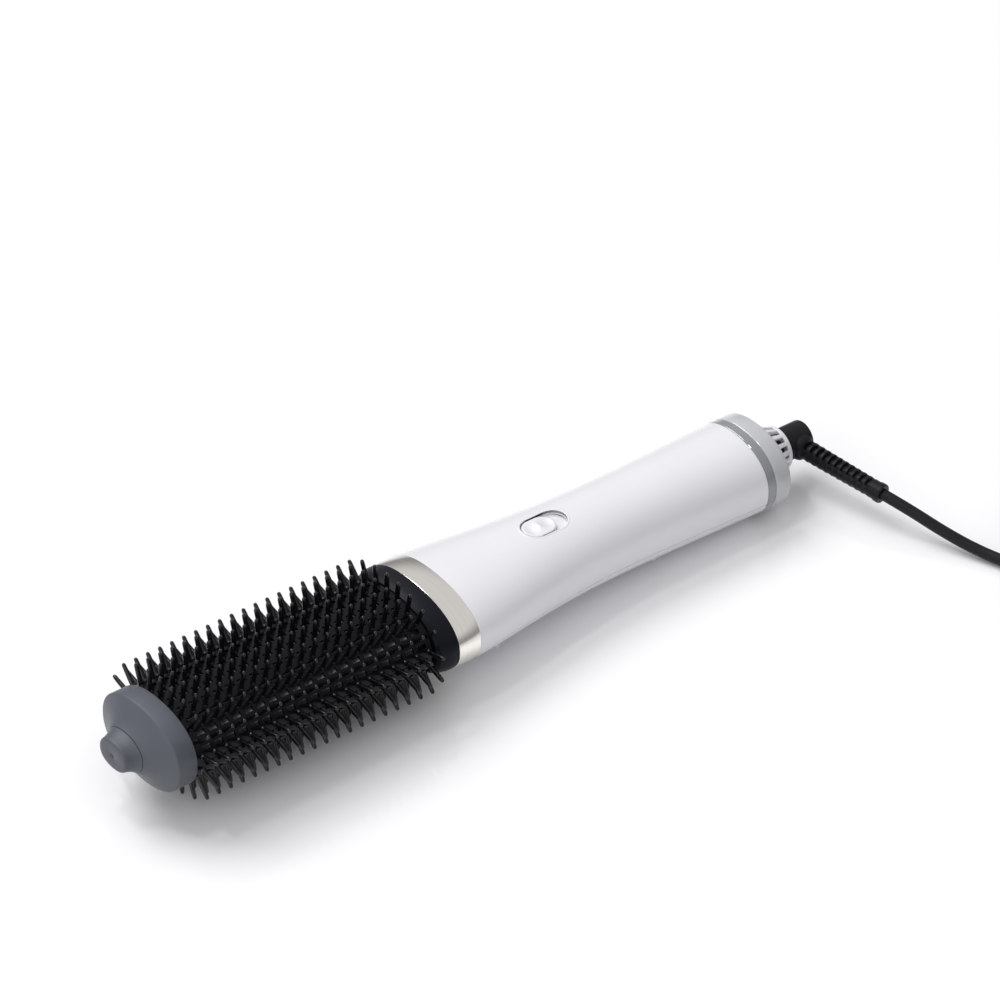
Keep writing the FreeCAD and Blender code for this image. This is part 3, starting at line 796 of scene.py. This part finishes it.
def strain_relief_piece():
    """The windowed sleeve: a rounded tube with ladder openings on both sides and a lipped end."""
    start, line = branch()
    direction = line.normalized()
    last = line.length
    side = direction.cross(Vector((1.0, 0.0, 0.0))).normalized()
    third = side.cross(direction)
    around = 64
    ring_spacing = 0.00028
    rung_height = 0.0002
    window_edge = 0.70          # as a cosine from the middle of a window
    steps = int((last - SLEEVE_FRONT) / ring_spacing)
    rings = []
    for index in range(steps + 1):
        distance = SLEEVE_FRONT + (last - SLEEVE_FRONT) * index / steps
        window = window_share(distance, last)
        radius = sleeve_radius(distance, last) - rung_height * window
        ring = []
        for point in range(around):
            angle = 2.0 * math.pi * point / around
            opening = window * rounded_step(abs(math.cos(angle)), window_edge)
            r = radius - (radius - WINDOW_CORE) * opening
            ring.append(start + direction * distance + side * (r * math.cos(angle))
                        + third * (r * math.sin(angle)))
        rings.append(ring)
    piece = place_piece("strain_sleeve", "cord_swivel", "cord_black", closed_bar(rings),
                        Matrix.Identity(4), merge=0.0, sharp=40.0)
    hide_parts("strain_relief")
    return piece


def plug_piece():
    """The moulded plug: a waisted grip that widens to an oval face with a rounded rim."""
    back = Vector(LEAD_ROUTE[-1])
    direction = back - Vector(LEAD_ROUTE[-2])
    direction.z = 0.0
    direction.normalize()
    upright = Vector((0.0, 0.0, 1.0))
    side = upright.cross(direction)
    sections = curve_through([
        (0.0, 5.0, 4.6), (2.0, 7.2, 6.0), (8.0, 9.6, 7.6), (16.0, 12.2, 9.6), (26.0, 14.8, 11.6),
        (34.0, 17.4, 12.6), (40.0, 18.2, 12.9), (44.8, 18.3, 12.9)], 4)
    sections += [(45.6, 17.9, 12.5), (46.0, 17.1, 11.8), (46.0, 8.0, 5.5)]
    grip = range(4, 21)
    groove_depth = 0.35
    rings = []
    for index, (distance, a, b) in enumerate(sections):
        groove = groove_depth if index in grip and index % 4 < 2 else 0.0
        rings.append(ring_about(back + direction * distance * MM, side, upright,
                                (a - groove) * MM, (b - groove) * MM, 64))
    piece = place_piece("mains_plug", "cord_swivel", "cord_black", closed_bar(rings),
                        Matrix.Identity(4), merge=0.0, sharp=45.0)
    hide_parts("plug_body")
    return piece


class HAIRBRUSH_OT_head(bpy.types.Operator):
    """Build the nose, end cap, barrel, collar and trim band"""

    bl_idname = "hairbrush.head"
    bl_label = "Brush head"

    def execute(self, context):
        self.nose()
        self.end_cap()
        self.barrel()
        self.collar()
        self.trim_band()
        return {"FINISHED"}

    def nose(self):
        profile = [
            (0.55, 0.5, 0.5), (0.5, 0.95, 0.9), (0.12, 1.3, 1.2), (0.0, 1.6, 1.5),
            (0.0, 8.3, 5.9), (0.1, 8.85, 6.4), (0.4, 9.3, 6.8), (1.0, 9.6, 7.05),
            (2.4, 9.9, 7.3), (4.2, 10.55, 7.85), (5.8, 11.45, 8.55), (6.85, 12.3, 9.2),
            (7.0, 12.3, 9.15), (7.1, 12.1, 8.95), (8.2, 11.9, 8.8), (8.2, 3.0, 3.0),
            (11.5, 2.9, 2.9)]
        piece = place_piece("nose_tip", "brush", "soft_grey", solid_bmesh(profile))
        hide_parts("nose_insert")

    def end_cap(self):
        dish = curve_through([
            (7.2, 12.6, 9.45), (8.6, 14.2, 10.6), (10.4, 16.9, 12.4), (12.1, 20.3, 14.6),
            (13.5, 23.6, 16.7), (14.7, 26.5, 18.5)], 5)
        profile = [(7.25, 12.25, 9.1), (7.15, 12.4, 9.3)] + dish + [
            (14.95, 27.05, 18.87), (15.15, 27.35, 19.05), (15.5, 27.6, 19.18), (24.3, 27.6, 19.18),
            (24.8, 27.45, 19.05), (25.0, 27.1, 18.75), (25.0, 26.2, 15.2), (17.2, 26.2, 15.2),
            (12.0, 15.0, 10.0), (8.4, 12.2, 9.05)]
        piece = place_piece("cool_tip_cap", "brush", "soft_grey", shell_bmesh(profile), sharp=28.0)
        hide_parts("end_cap")

    def barrel(self):
        """Both half shells as one skin, with a vent between every four neighbouring pins."""
        per_row = 12            # faces from one row of pins to the next
        per_pin = 6             # faces from one pin to the next along a row
        count = ROWS * per_row
        dense = oval_ring(0.0, *BARREL, count=4800)
        run = [0.0]             # length round the oval up to each point
        for before, after in zip(dense, dense[1:] + dense[:1]):
            run.append(run[-1] + (after - before).length)
        outline = []
        index = 0
        for step in range(count):
            target = run[-1] * step / count
            while run[index + 1] < target:
                index += 1
            outline.append(dense[index])
        first = FIRST_PIN - PIN_PITCH / 2.0
        cells = PINS_PER_ROW * per_pin
        under_cap, under_collar = 0.6, 4.0
        stations = [CAP_REAR - under_cap]
        stations += [first + PIN_PITCH * step / per_pin for step in range(cells)]
        stations.append(COLLAR_FRONT + under_collar)
        bm = bmesh.new()
        rows = [[bm.verts.new((x, point.y, point.z)) for point in outline] for x in stations]
        for row_index, (front, rear) in enumerate(zip(rows, rows[1:])):
            cell = row_index - 1
            between_pins = cell % per_pin in (4, 5, 0, 1) and 2 <= cell <= cells - 4
            for column in range(count):
                after = (column + 1) % count
                between_rows = column % per_row in (10, 11, 0, 1)
                if between_rows and between_pins:
                    continue
                bm.faces.new((front[column], front[after], rear[after], rear[column]))
        skin = linked("barrel_skin", mesh_from(bm, "barrel_skin"))
        wall = skin.modifiers.new("Wall", "SOLIDIFY")
        wall.thickness = BARREL_WALL
        wall.offset = -1.0
        walled = evaluated_mesh(skin)
        bpy.data.objects.remove(skin)
        bm = bmesh.new()
        bm.from_mesh(walled)
        piece = place_piece("barrel_skin", "brush", "barrel_black", bm, merge=0.0)
        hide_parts("upper_barrel", "lower_barrel")

    def collar(self):
        front = COLLAR_FRONT
        profile = [
            (front + 1.0, 27.5, 16.45), (front + 0.2, 27.6, 16.5), (front, 27.9, 16.65),
            (front + 0.3, 29.3, 17.05), (front + 1.3, 30.4, 17.35), (front + 1.35, 30.6, 17.42),
            (front + 1.9, 31.1, 17.62), (front + 3.6, 31.9, 17.95), (front + 5.4, 32.5, 18.2),
            (front + 6.6, 32.8, 18.31), (front + 7.4, 32.85, 18.32),
            (COLLAR_REAR - 0.45, 32.85, 18.32), (COLLAR_REAR - 0.25, 32.5, 18.0),
            (COLLAR_REAR - 0.05, 32.5, 18.0), (COLLAR_REAR - 0.05, 27.0, 15.6),
            (COLLAR_REAR - 2.0, 27.5, 16.45)]
        piece = place_piece("head_collar", "brush", "navy_plastic", shell_bmesh(profile),
                            sharp=30.0)
        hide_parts("collar")

    def trim_band(self):
        profile = [
            (COLLAR_REAR, 31.2, 16.6), (COLLAR_REAR, 32.5, 18.0), (COLLAR_REAR + 0.12, 32.85, 18.3),
            (COLLAR_REAR + 0.45, *BAND), (BAND_REAR - 0.45, *BAND),
            (BAND_REAR - 0.12, 32.85, 18.3), (BAND_REAR, 32.5, 18.0), (BAND_REAR, 31.2, 16.6)]
        piece = place_piece("metal_band", "brush", "champagne_metal", shell_bmesh(profile),
                            sharp=24.0)
        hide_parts("trim_band")


class HAIRBRUSH_OT_bristles(bpy.types.Operator):
    """Grow the rows of round-ended pins on the barrel"""

    bl_idname = "hairbrush.bristles"
    bl_label = "Bristles"

    def pin(self, sizes):
        """One pin: a flared foot, a nearly even shaft and a rounded end."""
        root = sizes.pin_root
        tip = sizes.pin_tip
        top = sizes.pin_length
        profile = [
            (-0.5, 1.6), (0.1, 1.55), (0.45, 1.25), (1.1, root), (0.5 * top, root * 0.98),
            (top - 1.5 * tip, tip), (top - 0.6 * tip, tip * 0.86), (top - 0.15 * tip, tip * 0.5)]
        across = Vector((1.0, 0.0, 0.0))
        along = Vector((0.0, 1.0, 0.0))
        rings = [ring_about(Vector((0.0, 0.0, height)), across, along, radius, radius, 8)
                 for height, radius in profile]
        bm = bmesh.new()
        rows = bridge(bm, rings, False)
        cap_ring(bm, rows[0])
        cap_ring(bm, rows[-1], (0.0, 0.0, top))
        return bm

    def execute(self, context):
        sizes = context.scene.brush_sizes
        values = {"Rows": sizes.rows, "Pins": sizes.pins}
        piece = grown_piece("bristles", self.pin(sizes), bristle_tree(), values, "brush",
                            "bristle_black", sharp=50.0)
        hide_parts(*COMBS)
        return {"FINISHED"}


class HAIRBRUSH_OT_handle(bpy.types.Operator):
    """Build the two handle shells and the thumb switch"""

    bl_idname = "hairbrush.handle"
    bl_label = "Handle"

    def half_section(self, x, inset, upper, edge):
        """An open arc of the handle's section above or below the parting line."""
        a, b = handle_size(x)
        a -= inset
        b -= inset
        level = PARTING + (PARTING_GAP if upper else -PARTING_GAP)
        share = max(-1.0, min(1.0, level / b))
        angle = math.asin(power(share, OVAL_POWER / 2.0))
        if upper:
            start, end = angle, math.pi - angle
        else:
            start, end = math.pi - angle, 2.0 * math.pi + angle
        ring = oval_ring(x, a, b, count=110, start=start, end=end, closed=False)
        for index in (0, -1):
            inward = Vector((0.0, ring[index].y, 0.0)).normalized()
            ring[index] -= inward * edge
        return ring

    def shell(self, upper):
        """One half of the handle, with its ends and long edges eased."""
        end_ease, edge_ease = 0.22, 0.16
        bm = bmesh.new()
        stations = [BAND_REAR + 0.02, BAND_REAR + 0.25]
        stations += [x for x, _, _ in HANDLE_LINE if BAND_REAR + 1.0 < x < HANDLE_REAR - 1.0]
        stations += [HANDLE_REAR - 0.3, HANDLE_REAR - 0.05]
        rings = []
        for index, x in enumerate(stations):
            ease = end_ease if index in (0, len(stations) - 1) else 0.0
            outer = self.half_section(x, ease, upper, edge=edge_ease)
            inner = self.half_section(x, HANDLE_WALL, upper, edge=0.0)
            rings.append(outer + inner[::-1])
        rows = bridge(bm, rings, False)
        for row in (rows[0], rows[-1]):
            half = len(row) // 2
            for index in range(half - 1):
                bm.faces.new((row[index], row[index + 1], row[-2 - index], row[-1 - index]))
        return bm

    def stadium(self, length, width, count=96):
        """Points of a long round-ended outline about the switch's centre."""
        half = (length - width) / 2.0
        radius = width / 2.0
        points = []
        for index in range(count):
            angle = 2.0 * math.pi * (index + 0.5) / count
            x = radius * math.cos(angle)
            points.append((SWITCH_X + x + math.copysign(half, x), radius * math.sin(angle)))
        return points

    def skin_height(self, x, y):
        """Height of the handle's upper surface over a place."""
        a, b = handle_size(x)
        share = min(1.0, abs(y) / a)
        return b * (1.0 - share ** OVAL_POWER) ** (1.0 / OVAL_POWER)

    def upright_bar(self, outline, heights):
        """A closed bar with the same outline at each height."""
        return closed_bar([[Vector((x, y, z)) for x, y in outline] for z in heights])

    def well(self, piece):
        """Cut the switch's well through the upper shell."""
        outline = self.stadium(SWITCH_LENGTH, SWITCH_WIDTH)
        below_shell, above_shell = 8.0, 30.0
        bar = self.upright_bar(outline, (below_shell, above_shell))
        mesh = mesh_from(bar, "well_cutter")
        mesh.transform(REST)
        cutter = linked("well_cutter", mesh)
        cut = piece.modifiers.new("Well", "BOOLEAN")
        cut.operation = "DIFFERENCE"
        cut.solver = "EXACT"
        cut.object = cutter
        mesh = evaluated_mesh(piece)
        piece.modifiers.remove(cut)
        old = piece.data
        piece.data = mesh
        bpy.data.meshes.remove(old)
        bpy.data.objects.remove(cutter)

    def bezel(self):
        """The well's rounded rim, its walls and floor."""
        rings = []
        for grow, lift in ((0.0, -1.3), (0.0, -0.12), (0.12, 0.06), (0.4, 0.16), (0.75, 0.10),
                           (0.95, -0.03), (0.95, -0.7)):
            outline = self.stadium(SWITCH_LENGTH + 2.0 * grow, SWITCH_WIDTH + 2.0 * grow)
            rings.append([Vector((x, y, self.skin_height(x, y) + lift)) for x, y in outline])
        bm = bmesh.new()
        bridge(bm, rings, True)
        overlap = 0.3
        outline = self.stadium(SWITCH_LENGTH + overlap, SWITCH_WIDTH + overlap)
        floor = self.upright_bar(outline, (SWITCH_TOP - 3.6, SWITCH_TOP - 2.6))
        place_piece("switch_rim", "brush", "white_shell", bm)
        place_piece("switch_well_floor", "brush", "white_shell", floor)

    def slider(self):
        """The thumb slider: a crowned pad with two scooped lobes and a ridge between them."""
        centre = SWITCH_X - SLIDER_TRAVEL / 2.0
        side_gap = 0.7
        width = SWITCH_WIDTH - 2.0 * side_gap
        outline = [(x - SWITCH_X, y) for x, y in self.stadium(SLIDER_LENGTH, width, 72)]
        shares = [0.08 * step for step in range(1, 12)] + [0.94, 0.98, 1.0]
        rings = []
        for share in shares:
            rings.append([Vector((centre + x * share, y * share,
                                  self.pad_height(x * share, y * share, share)))
                          for x, y in outline])
        underside = SWITCH_TOP - 2.2
        rings.append([Vector((p.x, p.y, underside)) for p in rings[-1]])
        bm = bmesh.new()
        rows = bridge(bm, rings, False)
        cap_ring(bm, rows[0], (centre, 0.0, self.pad_height(0.0, 0.0, 0.0)))
        cap_ring(bm, rows[-1])
        piece = place_piece("thumb_slider", "slider", "white_shell", bm, sharp=40.0)
        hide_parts("switch_slider")

    def pad_height(self, x, y, share):
        """Height of the pad's top; share is 0 in the middle and 1 at the rim."""
        rim_start = 0.93
        lobe_centre, lobe_length, lobe_width, lobe_depth = 4.4, 3.1, 4.6, 0.95
        ridge_height, ridge_length, ridge_width = 0.35, 0.9, 5.2
        crown = SWITCH_TOP - 0.05 - 0.012 * y * y
        rim = 0.0
        if share >= rim_start:
            rim = -0.45 * ((share - rim_start) / (1.0 - rim_start)) ** 2
        scoop = 0.0
        for lobe in (-lobe_centre, lobe_centre):
            away = ((x - lobe) / lobe_length) ** 2 + (y / lobe_width) ** 2
            scoop -= lobe_depth * math.exp(-away * 1.3)
        across = max(0.0, 1.0 - (y / ridge_width) ** 2)
        ridge = ridge_height * math.exp(-(x / ridge_length) ** 2) * across
        return crown + rim + scoop + ridge

    def execute(self, context):
        upper = place_piece("upper_shell", "brush", "white_shell", self.shell(True), sharp=40.0)
        lower = place_piece("lower_shell", "brush", "white_shell", self.shell(False), sharp=40.0)
        self.well(upper)
        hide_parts("upper_housing")
        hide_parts("lower_housing")
        self.bezel()
        self.slider()
        return {"FINISHED"}


class HAIRBRUSH_OT_rear(bpy.types.Operator):
    """Build the rear rings, the slotted intake grille and the cord elbow"""

    bl_idname = "hairbrush.rear"
    bl_label = "Rear end"

    def execute(self, context):
        self.rings()
        self.grille()
        self.elbow()
        return {"FINISHED"}

    def rings(self):
        front = HANDLE_REAR
        profile = [
            (front, 22.4, 16.8), (front, 24.1, 18.5), (front + 0.15, 24.4, 18.8),
            (front + 0.5, *REAR), (TRIM_RING_REAR - 0.4, *REAR),
            (TRIM_RING_REAR - 0.1, 24.4, 18.8), (TRIM_RING_REAR - 0.02, 24.1, 18.5),
            (TRIM_RING_REAR - 0.02, 22.4, 16.8)]
        piece = place_piece("ring_front", "brush", "grey_gloss", shell_bmesh(profile), sharp=24.0)
        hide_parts("rear_trim_ring")
        front = TRIM_RING_REAR
        rear = REAR_CAP_REAR
        profile = [
            (front + 0.02, 22.4, 16.8), (front + 0.02, 24.1, 18.5), (front + 0.15, 24.4, 18.8),
            (front + 0.5, *REAR), (rear - 1.6, *REAR), (rear - 1.0, 24.45, 18.85),
            (rear - 0.45, 24.05, 18.45), (rear - 0.1, 23.3, 17.7), (rear, 22.3, 16.8),
            (rear, 15.4, 15.0), (rear - 0.2, 14.7, 14.7), (rear - 0.6, 14.4, 14.4),
            (rear - 2.4, 14.4, 14.4), (rear - 2.5, 22.4, 16.8)]
        piece = place_piece("ring_rear", "brush", "grey_gloss", shell_bmesh(profile), sharp=28.0)
        # The rear cap takes the lighter copy of the grey gloss: painted light.
        piece.data.materials[0] = finish_for("grey_gloss_painted_light")
        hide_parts("rear_cap")

    def grille(self):
        """Ribs round a cone between a base ring and an end flange."""
        base_x = REAR_CAP_REAR
        end_x = GRILLE_REAR
        rings = []
        for x, outer, inner in ((base_x - 1.0, 14.2, 12.6), (base_x + 6.0, 12.1, 10.5),
                                (end_x - 1.8, 10.4, 8.9)):
            half = 0.85 + 0.35 * (end_x - x) / 13.0     # a rib is wider at the base
            corners = [(-half, inner), (half, inner), (half, outer - 0.25), (half - 0.3, outer),
                       (0.3 - half, outer), (-half, outer - 0.25)]
            rings.append([Vector((x, y, z)) for y, z in corners])
        piece = grown_piece("grille_ribs", closed_bar(rings), wheel_tree(),
                            {"Count": GRILLE_RIBS}, "brush", "white_shell")
        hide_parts("intake_grille")
        base = [(base_x - 3.0, 12.6, 12.6), (base_x - 3.0, 14.0, 14.0), (base_x + 1.4, 14.0, 14.0),
                (base_x + 1.9, 13.7, 13.7), (base_x + 1.9, 12.4, 12.4)]
        place_piece("grille_base", "brush", "white_shell", shell_bmesh(base, 72))
        flange = [(end_x - 2.2, 8.6, 8.6), (end_x - 2.2, 10.2, 10.2), (end_x - 1.5, 10.4, 10.4),
                  (end_x - 1.0, 10.15, 10.15), (end_x - 0.35, 10.15, 10.15),
                  (end_x - 0.02, 9.8, 9.8), (end_x - 0.02, 3.9, 3.9), (end_x - 1.3, 3.9, 3.9),
                  (end_x - 1.4, 8.6, 8.6)]
        place_piece("grille_flange", "brush", "white_shell", shell_bmesh(flange, 72))

    def elbow(self):
        front = GRILLE_REAR + 0.3
        stub_r = 3.4
        stub_front = REAR_CAP_REAR + 1.5
        drum = [(stub_front, 3.2), (stub_front + 0.1, stub_r), (front, stub_r),
                (front, 7.3), (front + 0.2, 7.65), (front + 0.6, ELBOW_R),
                (ELBOW_REAR - 1.6, ELBOW_R), (ELBOW_REAR - 0.9, 7.65),
                (ELBOW_REAR - 0.35, 7.2), (ELBOW_REAR - 0.05, 6.5), (ELBOW_REAR, 5.5)]
        bm = solid_bmesh([(x, radius, radius) for x, radius in drum], 72)
        bm.transform(REST)
        start, line = branch()
        direction = line.normalized()
        side = direction.cross(Vector((0.0, 0.0, 1.0))).normalized()
        third = side.cross(direction)
        neck = [(0.0030, 0.0062), (0.0064, 0.0062), (0.0074, 0.0058), (0.0082, 0.0052),
                (0.0086, 0.0044)]
        closed_bar([ring_about(start + direction * distance, side, third, radius, radius, 48)
                    for distance, radius in neck], bm)
        piece = place_piece("elbow_drum", "cord_swivel", "cord_black", bm, Matrix.Identity(4),
                            merge=0.0)
        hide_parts("cord_elbow")


class HAIRBRUSH_OT_inside(bpy.types.Operator):
    """Finish the inner pieces and the metal pins that stay as the frame has them"""

    bl_idname = "hairbrush.inside"
    bl_label = "Inner pieces"

    def execute(self, context):
        slots = {entry["node"]: entry["material_slot"] for entry in frame["record"]["subparts"]}
        for name, node in frame["nodes"].items():
            node.data.materials.clear()
            node.data.materials.append(finish_for(slots[name]))
        return {"FINISHED"}


class HAIRBRUSH_PT_panel(bpy.types.Panel):
    """Shows a button for each step that builds the brush, and its sizes and colours"""

    bl_label = "Hot air brush"
    bl_idname = "HAIRBRUSH_PT_panel"
    bl_space_type = "VIEW_3D"
    bl_region_type = "UI"
    bl_category = "Hot air brush"

    def draw(self, context):
        for operator in OPERATORS:
            self.layout.operator(operator.bl_idname)
        for group in (context.scene.brush_sizes, context.scene.brush_colours):
            for name in group.__annotations__:
                self.layout.prop(group, name)


OPERATORS = (
    HAIRBRUSH_OT_stage,
    HAIRBRUSH_OT_cord,
    HAIRBRUSH_OT_inside,
    HAIRBRUSH_OT_head,
    HAIRBRUSH_OT_bristles,
    HAIRBRUSH_OT_handle,
    HAIRBRUSH_OT_rear,
)
CLASSES = (BrushSizes, BrushColours) + OPERATORS + (HAIRBRUSH_PT_panel,)


def register():
    for cls in CLASSES:
        bpy.utils.register_class(cls)
    bpy.types.Scene.brush_sizes = PointerProperty(type=BrushSizes)
    bpy.types.Scene.brush_colours = PointerProperty(type=BrushColours)


def unregister():
    del bpy.types.Scene.brush_colours
    del bpy.types.Scene.brush_sizes
    for cls in reversed(CLASSES):
        bpy.utils.unregister_class(cls)


def main():
    register()
    make_materials(bpy.context.scene.brush_colours)
    bpy.ops.hairbrush.stage()
    bpy.ops.hairbrush.cord()
    bpy.ops.hairbrush.inside()
    bpy.ops.hairbrush.head()
    bpy.ops.hairbrush.bristles()
    bpy.ops.hairbrush.handle()
    bpy.ops.hairbrush.rear()


if __name__ == "__main__":
    main()
